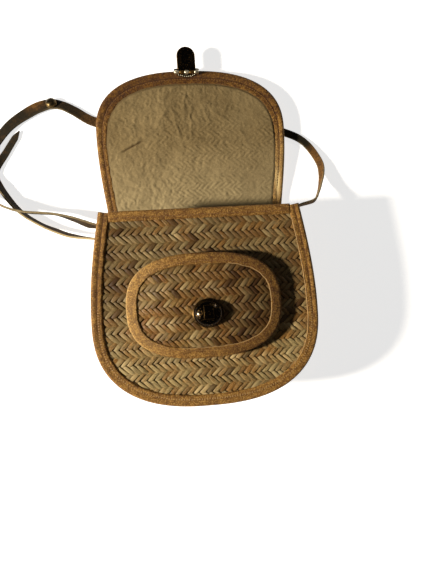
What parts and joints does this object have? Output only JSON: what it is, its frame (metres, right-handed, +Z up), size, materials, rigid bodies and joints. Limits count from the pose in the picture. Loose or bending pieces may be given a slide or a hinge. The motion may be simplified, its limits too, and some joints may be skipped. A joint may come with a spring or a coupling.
{
  "type": "sling_bag",
  "caption": "Woven rush sling bag lying open on its back: leather-bound edges, an oval front pocket with a domed lock, a lined flap with a hinged clasp and a loose leather strap.",
  "frame": {"origin": "on the table plane, under the middle of the opened bag's own length and width, the loose strap left out", "axes": "+X to the bag's right as it lies on its back, +Y from the bottom to the flap's tip, +Z up from the table"},
  "size_m": [0.3807, 0.3806, 0.0909],
  "materials": {
    "rush": "herringbone woven rush, satin",
    "pocket_rush": "herringbone woven rush, warmer and darker",
    "edge_leather": "matte golden tan, fine grain",
    "lining_cloth": "matte olive beige cloth",
    "strap_leather": "smooth brown, worn edges",
    "dark_metal": "polished gunmetal",
    "pale_metal": "worn pale brass"
  },
  "bodies": {
    "bag": {"back_flap_panel": "rush", "front_panel": "rush", "gusset": "rush", "flap_lining": "lining_cloth", "back_flap_binding": "edge_leather", "front_binding": "edge_leather", "mouth_binding": "edge_leather", "gusset_edge_left": "edge_leather", "gusset_edge_right": "edge_leather", "pocket_panel": "pocket_rush", "pocket_gusset": "pocket_rush", "pocket_binding": "edge_leather", "lock_case": "dark_metal", "clasp_plate": "pale_metal", "strap": "strap_leather", "strap_stud": "dark_metal", "strap_loop": "strap_leather"},
    "tongue": {"clasp_tongue": "dark_metal"},
    "thumb_slide": {"lock_button": "dark_metal"}
  },
  "joints": [
    {"name": "tongue_hinge", "type": "hinge", "parent": "bag", "child": "tongue", "pos_m": [-0.002, 0.1627, 0.0173], "axis": [1, 0, 0], "range_deg": [0, 90]},
    {"name": "button_slide", "type": "slide", "parent": "bag", "child": "thumb_slide", "axis": [0, -1, 0], "range_m": [0, 0.003], "stiffness_N_per_m": 300}
  ]
}
